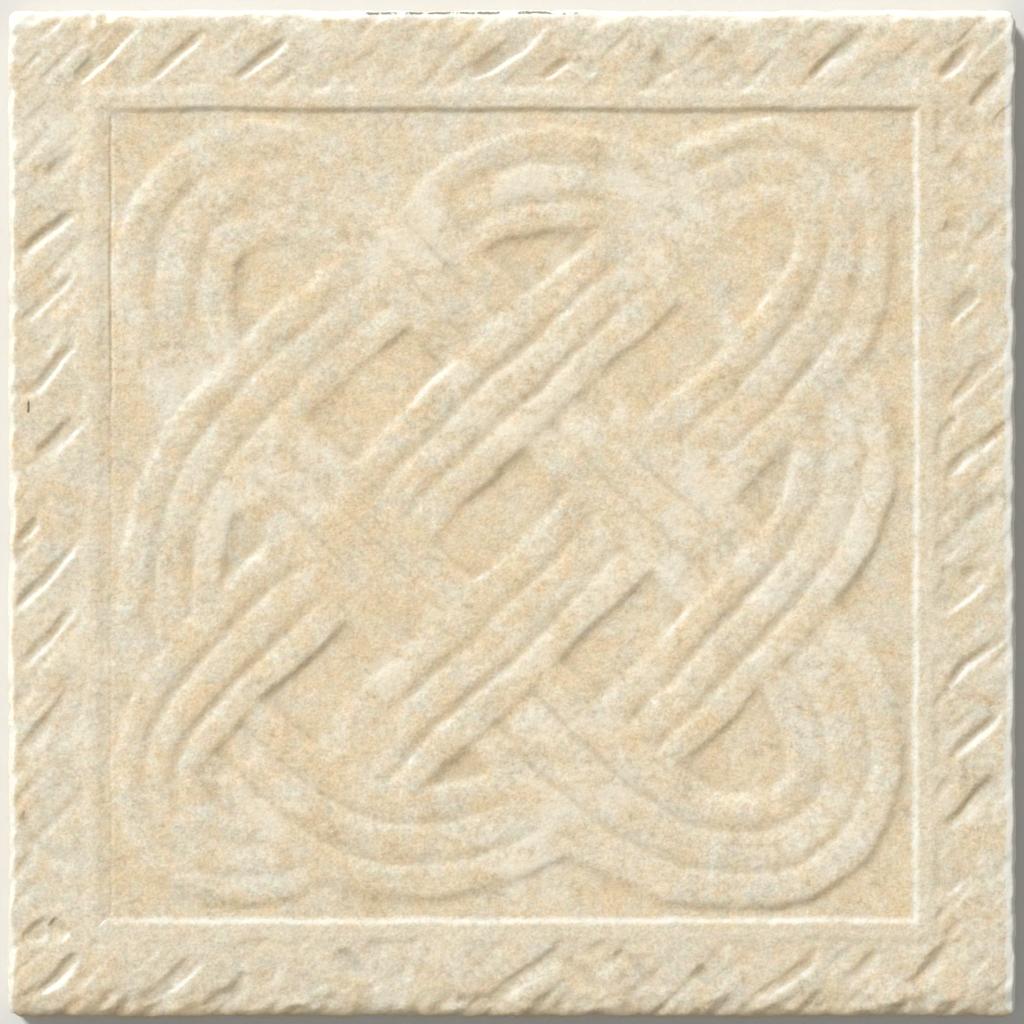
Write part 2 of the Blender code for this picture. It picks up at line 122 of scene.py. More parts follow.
# Ribbon paths: x, y and half width at points along the middle of each closed ribbon
ribbonPaths = {
    "lozenge": (
        (9, 66, 11.25), (25.5, 63, 10), (37.5, 51, 10), (49.5, 38.5, 10),
        (61, 26, 10.5), (65.5, 14.5, 11.25), (64, 2, 11.25), (58.5, -9, 11.5),
        (45, -23.5, 11.5), (32.5, -37, 11.5), (19.5, -49, 11.5), (6, -57.5, 12),
        (-5, -62.5, 12), (-17.5, -65, 12), (-30, -63, 12), (-42, -57, 11.5),
        (-53, -47, 11), (-62.5, -36, 10.5), (-67, -25, 11), (-67, -13, 11.25),
        (-65, 0, 11.25), (-60, 11, 11.25), (-52.5, 20.5, 11.25), (-41.5, 31.5, 11),
        (-29.5, 42, 11), (-19, 52.5, 10.25), (-10, 60, 10.25), (-1, 64.25, 10.75),
    ),
    "upright": (
        (-62.5, -36, 11.5), (-53, -25.5, 11.75), (-31, -4.5, 11.75), (-9.5, 16.5, 11.75),
        (13, 37.5, 11.75), (24.5, 48, 11.25), (32.5, 58, 10.75), (39.5, 66, 10.25),
        (50, 68.75, 10), (59.5, 66.5, 10), (65.5, 59.5, 10.25), (65.5, 50, 10.75),
        (61.5, 39.5, 12), (52, 27, 12.5), (40.5, 15.5, 12.5), (17.75, -5.25, 12.25),
        (-4, -27, 12.25), (-16.5, -38, 12.25), (-26, -48, 12), (-36, -58, 11),
        (-43.5, -66, 10), (-53, -68.75, 9.5), (-62.5, -66.25, 10), (-68.5, -59.5, 9.5),
        (-70, -51, 9.5), (-67.5, -43.5, 10.25),
    ),
    "slanting": (
        (-66.5, 45.5, 12.6), (-64.75, 55.25, 13.25), (-57, 63, 13.5), (-46.25, 65.25, 12.75),
        (-35, 62.5, 11.5), (-23, 54.5, 10.75), (-10.5, 41.5, 10.75), (13.5, 17.5, 12),
        (37.5, -6, 12), (48.5, -17, 12), (57, -26.5, 12.25), (63.5, -36, 12.75),
        (66.25, -46, 12.5), (64.25, -57, 12.5), (56.25, -65, 12.5), (46.5, -66.75, 12.5),
        (35, -65.25, 13), (25, -60, 14), (15, -53, 14.25), (5, -43, 14),
        (-6.5, -30.5, 12.75), (-22, -16, 12), (-42, 4, 12), (-54, 16.5, 12),
        (-62, 26.5, 12), (-66, 35.5, 12),
    ),
}

# Crossings: the ribbon on top, the ribbon below it, and where their middles cross
crossings = (
    ("lozenge", "slanting", -61, 22.5),
    ("slanting", "lozenge", -23, 52.5),
    ("upright", "lozenge", -61, -35),
    ("slanting", "upright", -33, -6),
    ("upright", "slanting", -2.5, 25.5),
    ("lozenge", "upright", 30.5, 57),
    ("lozenge", "upright", -40, -60),
    ("upright", "slanting", -14.5, -36),
    ("slanting", "upright", 27.5, 4),
    ("upright", "lozenge", 58, 31.5),
    ("slanting", "lozenge", 13.5, -54),
    ("lozenge", "slanting", 49.5, -20),
)

# Places where the ribbons are rubbed down: x, y, radius, the share of height lost, and
# the ribbon it is lost from
wornPlaces = (
    (-34.0, 64.0, 13.0, 0.8, "all"),
    (-55.0, 68.0, 10.0, 0.5, "all"),
    (-64.0, 54.0, 7.0, 0.4, "slanting"),
    (-48.0, 57.0, 7.0, 0.6, "all"),
    (-69.0, 30.0, 7.0, 0.6, "all"),
    (-32.0, 26.0, 9.0, 0.5, "lozenge"),
    (-58.0, 9.0, 12.0, 0.3, "lozenge"),
    (-46.0, 28.0, 11.0, 0.35, "lozenge"),
    (-29.0, 42.0, 8.0, 0.4, "lozenge"),
    (-12.0, 59.0, 8.0, 0.7, "lozenge"),
    (-9.0, 17.0, 9.0, 0.3, "upright"),
    (24.0, 47.0, 7.0, 0.3, "upright"),
    (27.0, 60.0, 12.0, 0.75, "all"),
    (62.0, 40.0, 9.0, 0.45, "upright"),
    (63.0, 1.0, 9.0, 0.25, "lozenge"),
    (64.0, -57.0, 8.0, 0.3, "slanting"),
    (48.0, 57.0, 10.0, 0.75, "all"),
    (44.0, 45.0, 11.0, 0.7, "lozenge"),
    (14.0, 22.0, 9.0, 0.5, "slanting"),
    (-4.0, -31.0, 9.0, 0.5, "slanting"),
    (-31.0, -41.0, 10.0, 0.75, "all"),
    (24.0, -31.0, 7.0, 0.5, "all"),
    (44.0, 22.0, 7.0, 0.4, "all"),
    (-14.0, -2.0, 7.0, 0.5, "all"),
)

# Places where the panel is painted almost white, partly pale worn spots and partly painted
# highlights on flanks that face the light: x, y and radius
paleWearAndHighlightPlaces = ((-1.0, 63.0, 4.0), (5.0, 65.0, 4.0), (9.0, 50.0, 3.0), (-24.5, -31.0, 4.0))

# Sections of the border's grooves: depth, then the places across it, from left to
# right, where the left side starts, the bottom starts and ends, and the right side ends
grooveSections = {
    "sharp": (0.32, -1.35, 0.3, 0.8, 1.85),
    "medium": (0.28, -1.5, 0.3, 0.9, 2.5),
    "lit": (0.34, -4.2, 0.1, 0.3, 1.5),
    "soft": (0.34, -1.3, 0.5, 0.6, 4.2),
}

# Grooves cut into the border: the kind of section, and points along the bottom
borderGrooves = (
    # Top side
    ("lit", (-86, 85.6), (-78, 93), (-74, 97.5)),
    ("sharp", (-71.5, 86.5), (-65.5, 92), (-60.5, 96)),
    ("sharp", (-55, 86), (-49, 91), (-44, 94.5)),
    ("lit", (-8, 86), (-3, 89), (2, 92), (7, 97.5)),
    ("sharp", (5, 86), (11, 90)),
    ("soft", (13.5, 90.5), (16.5, 87.5)),
    ("soft", (28.5, 92), (32, 87.5)),
    ("soft", (39.5, 95), (43.5, 91.5), (48, 86.5)),
    ("soft", (59, 86.5), (64, 91.5), (70.5, 96)),
    ("medium", (84, 87), (87.5, 90), (92, 94)),
    ("soft", (90.5, 81), (96.5, 88)),
    # Bottom side
    ("soft", (-97, -83.5), (-92.5, -80)),
    ("soft", (-91, -80), (-87.5, -83)),
    ("medium", (-97, -95.5), (-92, -93), (-88.5, -89), (-86, -87)),
    ("lit", (-73.5, -96.5), (-67.5, -93.5), (-61.5, -89)),
    ("soft", (-61, -97.5), (-55.5, -94), (-53, -90)),
    ("soft", (-35, -86), (-32, -87), (-27.5, -92)),
    ("soft", (-17.5, -88.5), (-13, -93), (-10.5, -96.5)),
    ("soft", (-6, -95.5), (-1.5, -92.5), (6, -88), (9.5, -85.8)),
    ("soft", (10.5, -87.5), (14.5, -90.5), (18.5, -94.5)),
    ("soft", (21, -86), (25, -88), (31, -93.5)),
    ("soft", (37.5, -89), (42, -94.5)),
    ("medium", (49, -95.5), (54, -92.5), (58.5, -89), (60.5, -86)),
    ("soft", (64, -93.5), (68.5, -90), (72.5, -86.5)),
    ("soft", (77.5, -93.5), (80.5, -92), (84, -87), (86.5, -85), (89.5, -84.5)),
    ("medium", (84, -99), (88, -96.5)),
    # Left side
    ("soft", (-93, 67.5), (-86.5, 73)),
    ("sharp", (-98, 52), (-94, 55), (-86, 60.5)),
    ("sharp", (-96.5, 38.5), (-92.5, 42.5), (-86.5, 48)),
    ("sharp", (-98, 24), (-94.5, 25.5), (-90, 31), (-86.3, 34)),
    ("soft", (-94.5, 12.5), (-86.5, 19.5)),
    ("sharp", (-97.5, -5), (-93.5, -0.5)),
    ("sharp", (-98, -18), (-93.5, -13), (-86.5, -6.5)),
    ("medium", (-97.5, -29.5), (-92, -24), (-86.5, -18.5)),
    ("soft", (-97.5, -47.5), (-94, -42.5), (-86.5, -33)),
    ("soft", (-96.5, -59.5), (-94.5, -64), (-87.5, -69)),
    # Right side
    ("soft", (84.5, 73), (88, 71), (92, 67), (93.5, 64.5)),
    ("soft", (85.5, 57.5), (90, 56.5)),
    ("lit", (85.5, 37.5), (92.5, 44)),
    ("medium", (85.5, 21.5), (92.5, 28), (97.5, 32.5)),
    ("medium", (85.5, 7.5), (89, 11.5), (98, 18)),
    ("soft", (90, -1), (92.5, 2), (96.5, 4)),
    ("soft", (85.5, -10), (88.5, -11.5), (95, -10)),
    ("lit", (85.5, -19.5), (93.5, -12.5)),
    ("sharp", (86, -34), (89, -29.5), (98, -23.5)),
    ("medium", (87, -47.5), (97, -39.5)),
    ("soft", (85.5, -61), (88.5, -59), (92.5, -54.5), (97, -52)),
    ("lit", (85.5, -75.5), (91, -71.5)),
)


# Noise over the face, by its use: the pitch of its lattice in millimetres, its seed,
# and its greatest height
noiseFields = {
    "wanderWideX": (11.0, 3, 1.0),
    "wanderWideY": (11.0, 4, 1.0),
    "wanderMiddleX": (4.0, 5, 0.5),
    "wanderMiddleY": (4.0, 6, 0.5),
    "wanderFineX": (1.8, 7, 0.25),
    "wanderFineY": (1.8, 8, 0.25),
    "wearWide": (16.0, 9, 0.8),
    "wearFine": (6.0, 10, 0.5),
    "unevenWide": (7.0, 11, 1.0),
    "unevenMiddle": (2.8, 12, 0.7),
    "unevenFine": (1.5, 13, 0.6),
    "flank": (9.0, 14, 0.4),
    "lumpsWide": (9.0, 15, 1.0),
    "lumpsFine": (4.5, 16, 0.7),
    "raggedWide": (4.5, 17, 1.0),
    "raggedFine": (1.8, 18, 0.5),
    "chipsWide": (2.6, 19, 1.0),
    "chipsFine": (1.3, 20, 0.6),
    "wall": (3.0, 21, 1.0),
    "streaks": (9.0, 22, 1.0),
}
latticeReach = 1400.0  # width that a lattice covers, also under stretched points
sideSpacing = 37.0  # keeps the four edges apart in their noise
wallShift = 31.0  # keeps the rows of a side wall apart in theirs
hairGap = 0.01  # millimetres that count as nothing


# Smooth noise on both sides of zero: random heights on a square lattice, joined by the
# curve 3t^2 - 2t^3 in both directions
def softNoise(points, field):
    cell, seed, height = noiseFields[field]
    size = int(latticeReach / cell) + 4
    lattice = np.random.default_rng(seed).uniform(-1.0, 1.0, (size, size))
    place = points / cell + size / 2
    low = np.floor(place).astype(int)
    t = place - low
    t = t * t * (3 - 2 * t)
    i, j = low[:, 0], low[:, 1]
    near = lattice[i, j] * (1 - t[:, 1]) + lattice[i, j + 1] * t[:, 1]
    far = lattice[i + 1, j] * (1 - t[:, 1]) + lattice[i + 1, j + 1] * t[:, 1]
    return height * (near * (1 - t[:, 0]) + far * t[:, 0])


# Smooth step: 0 up to low, 1 from high, and 3t^2 - 2t^3 between
def ease(value, low, high):
    t = np.clip((value - low) / (high - low), 0.0, 1.0)
    return t * t * (3 - 2 * t)


# Inward shift of a worn edge: a constant plus three sine waves along the edge, and
# small chips, which only cut further in
def edgeWave(along, side):
    inset = tileShape["edgeInset"] + tileShape["edgeMargin"]
    for height, length, shift, start in tileShape["edgeWaves"]:
        inset = inset + height * np.sin(along / length + shift * side + start)
    place = np.c_[np.ravel(along), np.full(np.size(along), sideSpacing * side)]
    chips = np.clip(softNoise(place, "chipsWide") + softNoise(place, "chipsFine"), 0.0, 1.0)
    return inset + tileShape["chipDepth"] * chips.reshape(np.shape(along))


# Distance to a line of points, the share of its length there, and 1 or -1 for its
# right or left side: the least, over its stretches, of the distance to the point's
# foot on that stretch
def nearestOnPath(points, path):
    start, step = path[:-1], np.diff(path, axis=0)
    lengthSquared = np.maximum((step**2).sum(1), 1e-9)
    best = np.full(len(points), 1e9)
    where, side = np.zeros(len(points)), np.ones(len(points))
    for i in range(len(start)):
        away = points - start[i]
        share = np.clip((away @ step[i]) / lengthSquared[i], 0.0, 1.0)
        gap = np.linalg.norm(away - share[:, None] * step[i], axis=1)
        closer = gap < best
        best[closer] = gap[closer]
        where[closer] = (i + share[closer]) / len(start)
        side[closer] = np.sign(away[closer] @ (step[i][1], -step[i][0]))
    return best, where, side


# Closed curve through the stations: a cubic between each two, whose slope at a station
# is half the step from the station before it to the one after it
def smoothLoop(stations, perStretch):
    middle = np.array(stations, float)
    before, after, nextAfter = (np.roll(middle, shift, 0) for shift in (1, -1, -2))
    t = np.linspace(0.0, 1.0, perStretch, endpoint=False)[None, :, None]
    a, b, c, d = (part[:, None, :] for part in (before, middle, after, nextAfter))
    curve = 2 * b + (c - a) * t
    curve = curve + (2 * a - 5 * b + 4 * c - d) * t**2 + (3 * b - a - 3 * c + d) * t**3
    return 0.5 * curve.reshape(-1, 3)


# Distance to a ribbon's middle as a share of its half width there, and that width
def shareOfRibbon(points, curve):
    loop = np.vstack((curve, curve[:1]))
    gap, where, _ = nearestOnPath(points, loop[:, :2])
    width = np.interp(where * (len(loop) - 1), np.arange(len(loop)), loop[:, 2])
    return gap / width, width


# Section of a ribbon: crowned strands, a rounded groove at each third of its width,
# how much of it stands on its flank, from 0 at the foot to 1 on top, and how near a
# strand's middle it is, from 0 to 1. share is 0 in the middle and 1 at the foot.
def ribbonSection(share, width, flank):
    shape = tileShape
    inStrand = np.abs((share * 1.5 + 0.5) % 1.0 - 0.5) * 2
    fromGroove = np.abs(share - 1 / 3) * width
    top = shape["ribbonHeight"] - shape["strandCrown"] * inStrand**2
    top -= shape["strandGroove"] * np.exp(-(fromGroove / shape["strandGrooveReach"]) ** 2)
    return top, ease((1 - share) * width, 0.0, flank), 1 - inStrand**2


# Distance from the wavy outline over the edge's wear: the least of the four edges',
# and in a corner the distance to the corner's arc
def depthInsideEdge(points):
    x, y = points[:, 0], points[:, 1]
    half, radius = tileShape["side"] / 2, tileShape["cornerRadius"]
    gaps = (half - edgeWave(y, 0) - x, half - edgeWave(y, 1) + x, half - edgeWave(x, 2) - y,
            half - edgeWave(x, 3) + y)
    right, left, top, bottom = [gap / wear for gap, wear in zip(gaps, tileShape["edgeWear"])]
    across, up = np.minimum(right, left), np.minimum(top, bottom)
    beside, above = np.maximum(radius - across, 0), np.maximum(radius - up, 0)
    inCorner = (beside > 0) & (above > 0)
    return np.where(inCorner, radius - np.hypot(beside, above), np.minimum(across, up))


# Depth of one border groove: two smooth slopes down to its flat bottom. Its depth
# falls to nothing at its ends and its width to about a third, by a power of the
# parabola 4s(1 - s), where s is the share of its length.
def grooveCut(points, groove):
    depth, leftStart, bottomStart, bottomEnd, rightEnd = grooveSections[groove[0]]
    gap, where, side = nearestOnPath(points, np.array(groove[1:], float))
    taper = np.clip(4 * where * (1 - where), 0.0, 1.0) ** tileShape["grooveTaper"]
    narrow = tileShape["grooveEndWidth"]
    across = gap * side / (narrow + (1 - narrow) * taper)
    leftSlope = ease(across, leftStart, bottomStart)
    rightSlope = ease(-across, -rightEnd, -bottomEnd)
    return depth * taper * leftSlope * rightSlope


# Level of the border, fillet and panel: a smooth wall inside the fillet, wider on the
# left and with a thin crease at its foot there, and a low smooth slope outside it
def bandLevels(points, wander):
    shape = tileShape
    offset = points + shape["bandWander"] * wander - shape["panelCentre"]
    square = np.abs(offset).max(axis=1)
    onLeft = -offset[:, 0] >= square - hairGap
    foot, leftTop = shape["panelHalf"], shape["panelHalf"] + shape["leftWallWidth"]
    wallTop = np.where(onLeft, leftTop, shape["filletInnerTop"])
    onWall = ease(square, foot, wallTop)
    wall = (shape["filletTop"] - shape["panelFloor"]) * onWall
    outerTop = np.maximum(wallTop, shape["filletOuterTop"])
    outside = ease(square, outerTop, shape["filletOuterFoot"])
    slope = (shape["filletTop"] - shape["borderTop"]) * outside
    inside = np.clip(offset[:, 0] + foot, 0.0, None)
    rise = shape["leftFloorRise"] * np.exp(-inside / shape["leftRiseReach"]) * (1 - onWall)
    fromCrease = (square - foot + shape["creaseInset"]) / shape["creaseWidth"]
    crease = shape["leftCrease"] * np.exp(-(fromCrease**2)) * onLeft
    lowLevel, upperGain = shape["creaseLevels"]
    crease *= lowLevel + upperGain * ease(offset[:, 1], *shape["creaseDeepens"])
    return shape["panelFloor"] + wall + rise - slope - crease, square


# Relief of the border: its grooves and slanting streaks cut down and its lumps rise,
# all of them growing from nothing across the fillet's outer slope
def borderRelief(moved, square):
    shape = tileShape
    cut = np.zeros(len(moved))
    for groove in borderGrooves:
        cut = np.maximum(cut, grooveCut(moved, groove))
    rising, falling = moved[:, 0] + moved[:, 1], moved[:, 0] - moved[:, 1]
    slanting = np.c_[rising, shape["streakStretch"] * falling]
    streaks = ease(softNoise(slanting, "streaks"), *shape["streakLimits"])
    lumps = softNoise(moved, "lumpsWide") + softNoise(moved, "lumpsFine")
    relief = shape["borderLumps"] * lumps - shape["streaks"] * streaks - cut
    return ease(square, shape["filletOuterTop"], shape["filletOuterFoot"]) * relief


# Share of each ribbon's height that is kept: all of it, less general wear by noise,
# times what each worn place leaves, which is 1 less its loss times a flat-topped bell,
# the exponential of minus the fourth power of the distance over its radius
def keptHeights(points, moved, wander):
    shape = tileShape
    rubbed = shape["wearLevel"] + softNoise(points, "wearWide") + softNoise(points, "wearFine")
    kept = {name: 1 - shape["wear"] * np.clip(rubbed, 0.0, 1.0) for name in ribbonPaths}
    for wornX, wornY, reach, loss, worn in wornPlaces:
        toPlace = moved + shape["wornWander"] * wander - (wornX, wornY)
        away = np.linalg.norm(toPlace, axis=1)
        for name in ribbonPaths if worn == "all" else (worn,):
            kept[name] = kept[name] * (1 - loss * np.exp(-((away / reach) ** 4)))
    return kept


# Lays the ribbons over the panel, near each crossing the third ribbon first, then the
# lower and then the upper one: each replaces what is below it by the share of its
# cover. Changes the heights z, and gives the cover and the crowns of the strands.
def layRibbons(z, points, moved, wander, square):
    shape = tileShape
    floor, onPanel = shape["panelFloor"], square < shape["panelHalf"]
    shares = {name: np.full(len(points), 9.0) for name in ribbonPaths}  # far outside
    widths = {name: np.ones(len(points)) for name in ribbonPaths}
    for name, path in ribbonPaths.items():
        curve = smoothLoop(path, shape["pathSteps"])
        shares[name][onPanel], widths[name][onPanel] = shareOfRibbon(moved[onPanel], curve)
    kept = keptHeights(points, moved, wander)
    flank = shape["ribbonFlank"] * (1 + softNoise(points, "flank"))

    places = np.array([(x, y) for _, _, x, y in crossings], float)
    gaps = np.linalg.norm(points[:, None] - places[None], axis=2)
    nearest = gaps.argmin(axis=1)
    closeness = np.exp(-(gaps.min(axis=1) / shape["crossingReach"]) ** 2)
    onRibbon, crown = np.zeros(len(points)), np.zeros(len(points))
    for index, (over, under, _, _) in enumerate(crossings):
        third = next(name for name in ribbonPaths if name not in (over, under))
        lifts = {third: 0.0, under: -shape["crossingDip"], over: shape["crossingRise"]}
        for name, lift in lifts.items():
            inside = (nearest == index) & (shares[name] < 1)
            section = (shares[name][inside], widths[name][inside], flank[inside])
            top, cover, crest = ribbonSection(*section)
            top = top * kept[name][inside] * (1 + lift * closeness[inside])
            z[inside] = floor + top * cover + (z[inside] - floor) * (1 - cover)
            onRibbon[inside] = np.maximum(onRibbon[inside], cover)
            crown[inside] = crest * cover + crown[inside] * (1 - cover)
    return onRibbon, crown


# Height of the face: the levels with the border's relief and the ribbons, unevenness
# added, and the edge rounded off by a quarter of an ellipse, whose height is the edge's
# drop and whose width is ragged and grows towards the corners
def faceHeight(points):
    shape = tileShape
    wander = sum(
        np.c_[softNoise(points, name + "X"), softNoise(points, name + "Y")]
        for name in ("wanderWide", "wanderMiddle", "wanderFine"))
    moved = points + shape["wander"] * wander
    z, square = bandLevels(points, wander)
    onBorder = square > shape["filletInnerTop"]
    z[onBorder] += borderRelief(moved[onBorder], square[onBorder])
    onRibbon, crown = layRibbons(z, points, moved, wander, square)

    uneven = softNoise(points, "unevenWide") + softNoise(points, "unevenMiddle")
    z += shape["unevenness"] * (uneven + softNoise(points, "unevenFine"))
    ragged = softNoise(points, "raggedWide") + softNoise(points, "raggedFine")
    ragged = np.clip(1 + shape["edgeRaggedness"] * ragged, *shape["raggedLimits"])
    fromMiddle = np.abs(points).min(axis=1)
    nearCorner = ease(fromMiddle, shape["cornerWearFrom"], shape["cornerWearTo"])
    edgeWidth = shape["edgeWidth"] * (ragged + shape["cornerWear"] * nearCorner)
    depth = depthInsideEdge(points)
    fall = np.clip(1 - depth / edgeWidth, 0.0, 1.0)
    z -= shape["edgeDrop"] * (1 - np.sqrt(1 - fall**2))
    return np.minimum(z, cadHigh.z / millimetre - hairGap), onRibbon, crown, square, depth


# Places of the grid's lines on one axis: even steps in each band, closest at the
# fillet's inner wall and at the edges
def gridLines():
    shape = tileShape
    half = shape["side"] / 2
    inner = shape["panelHalf"] - shape["fineBelowWall"]
    outer = shape["filletInnerTop"] + shape["fineAboveWall"]
    arris = half - shape["edgeWidth"] - shape["fineBesideEdge"]
    marks = (-half, -arris, -outer, -inner, inner, outer, arris, half)
    bands = ("edge", "border", "fillet", "panel", "fillet", "border", "edge")
    steps = [shape[band + "Step"] for band in bands]
    runs = []
    for low, high, step in zip(marks[:-1], marks[1:], steps):
        runs.append(np.linspace(low, high, int(math.ceil((high - low) / step)), endpoint=False))
    return np.r_[np.concatenate(runs), half]


# Two triangles for each square of the grid, split along the diagonal whose ends
# differ less in height, so that ridges and grooves run along mesh edges
def splitSquares(number, z):
    a, b = number[:-1, :-1].ravel(), number[1:, :-1].ravel()
    c, d = number[1:, 1:].ravel(), number[:-1, 1:].ravel()
    alongAC = np.abs(z[a] - z[c]) <= np.abs(z[b] - z[d])
    first = np.where(alongAC[:, None], np.c_[a, b, c], np.c_[a, b, d])
    second = np.where(alongAC[:, None], np.c_[a, c, d], np.c_[b, c, d])
    return np.vstack((first, second))


# Points of the face: grid places near an edge are moved in proportion, so that the
# grid ends on the wavy outline, and those in a corner are drawn in to its arc
def facePoints(lines):
    shape = tileShape
    half, stretch = shape["side"] / 2, shape["stretchReach"]
    x, y = np.meshgrid(lines, lines, indexing="ij")
    sideX = np.where(x > 0, half - edgeWave(y, 0), half - edgeWave(y, 1))
    sideY = np.where(y > 0, half - edgeWave(x, 2), half - edgeWave(x, 3))
    nearX, nearY = (np.clip((np.abs(v) - half + stretch) / stretch, 0.0, 1.0) for v in (x, y))
    px = x * (1 - nearX * (1 - sideX / half))
    py = y * (1 - nearY * (1 - sideY / half))

    arc = half - shape["edgeInset"] - shape["cornerRadius"]
    beyondX, beyondY = np.abs(px) - arc, np.abs(py) - arc
    inCorner = (beyondX > 0) & (beyondY > 0)
    reach = np.maximum(beyondX, beyondY) / np.maximum(np.hypot(beyondX, beyondY), 1e-9)
    px = np.where(inCorner, np.sign(px) * (arc + beyondX * reach), px)
    py = np.where(inCorner, np.sign(py) * (arc + beyondY * reach), py)
    return np.c_[px.ravel(), py.ravel()]


# Side walls below the rim: rows of points from the rim down to the back's bevel, moved
# inwards by noise that is strongest halfway down, and a last row on the back. Gives
# the points of each row and the triangles between each two rows.
def makeWalls(rim, rimPoints, rimTop, firstFree):
    shape = tileShape
    half, bevel, rowCount = shape["side"] / 2, shape["backBevel"], shape["wallRows"]
    pointRows, rows = [], [rim]
    for share in np.arange(1, rowCount + 1) / rowCount:
        bumps = 1 + softNoise(rimPoints + (0, wallShift * share), "wall")
        rough = shape["wallRoughness"] * bumps * math.sin(math.pi * share)
        level = rimTop + (bevel - rimTop) * share
        pointRows.append(np.c_[rimPoints * (1 - rough / half)[:, None], level])
    pointRows.append(np.c_[rimPoints * (1 - bevel / half), np.zeros(len(rim))])
    for index in range(len(pointRows)):
        rows.append(np.arange(len(rim)) + firstFree + index * len(rim))
    walls = []
    for above, below in zip(rows[:-1], rows[1:]):
        nextAbove, nextBelow = np.roll(above, -1), np.roll(below, -1)
        walls += [np.c_[above, below, nextBelow], np.c_[above, nextBelow, nextAbove]]
    return pointRows, walls, rows[-1]


# The tile as one closed surface: the face on a square grid pressed into the wavy
# outline, a wall of rows below its rim, and one flat back
def makeTile():
    lines = gridLines()
    count = len(lines)
    points = facePoints(lines)
    z, onRibbon, crown, square, depth = faceHeight(points)
    number = np.arange(count * count).reshape(count, count)

    # Rim of the grid, counter-clockwise seen from above
    rim = np.r_[number[:-1, 0], number[-1, :-1], number[:0:-1, -1], number[0, :0:-1]]
    wallPoints, walls, foot = makeWalls(rim, points[rim], z[rim], number.size)
    vertices = np.vstack([np.c_[points, z]] + wallPoints) * millimetre
    triangles = np.vstack([splitSquares(number, z)] + walls)

    mesh = bpy.data.meshes.new("tileSkin")
    polygons = triangles.tolist() + [foot[::-1].tolist()]
    mesh.from_pydata(vertices.tolist(), [], polygons)
    mesh.validate()
    tile = bpy.data.objects.new("tileSkin", mesh)
    bpy.context.scene.collection.objects.link(tile)

    zones = colourValues(points, lines, z, onRibbon, crown, square, depth)
    for name, value in zones.items():
        full = np.zeros(len(vertices), np.float32)
        full[:len(value)] = value
        mesh.attributes.new(name, "FLOAT", "POINT").data.foreach_set("value", full)

    smooth = np.ones(len(mesh.polygons), bool)
    smooth[-1] = False  # the back is flat
    mesh.polygons.foreach_set("use_smooth", smooth)
    mesh.update()
    return tile


# Where the colour changes over the face, in millimetres, slopes and shares of the
# half side
colourZones = {
    "slopeShare": 0.7,
    # Slope at which the painted light and shade in the warmth is full
    "facingLightSlope": 0.25,
    "hollowDepth": 0.2,
    "hollowReach": 4,
    # Slopes and places of the painted highlight and painted shade on the flanks
    "highlightSlope": (0.06, 0.36),
    "highlightInside": (1.0, 3.5),
    "highlightAtEdge": 0.3,
    "shadedSlope": (0.04, 0.3),
    "middleFades": (20.0, 90.0),
    "filletWidth": 1.9,
    # Where the fillet's painted highlight grows, towards the bottom right
    "filletLightFacingSide": (-0.6, 1.0),
    "filletLevels": (0.5, 1.3),
    "rimWidth": 2.6,
    "rimPaleFrom": (0.2, 0.8),
    "rimPaleLeast": 0.15,
    "rimPaleRight": 0.4,
    "cornerRim": 5.0,
    "rightRim": 2.1,
    "rimOverlap": 1.4,
    # Where the painted shade along the bottom edge starts and is full, as shares of the half side
    "bottomShadeFrom": (0.96, 1.0),
}


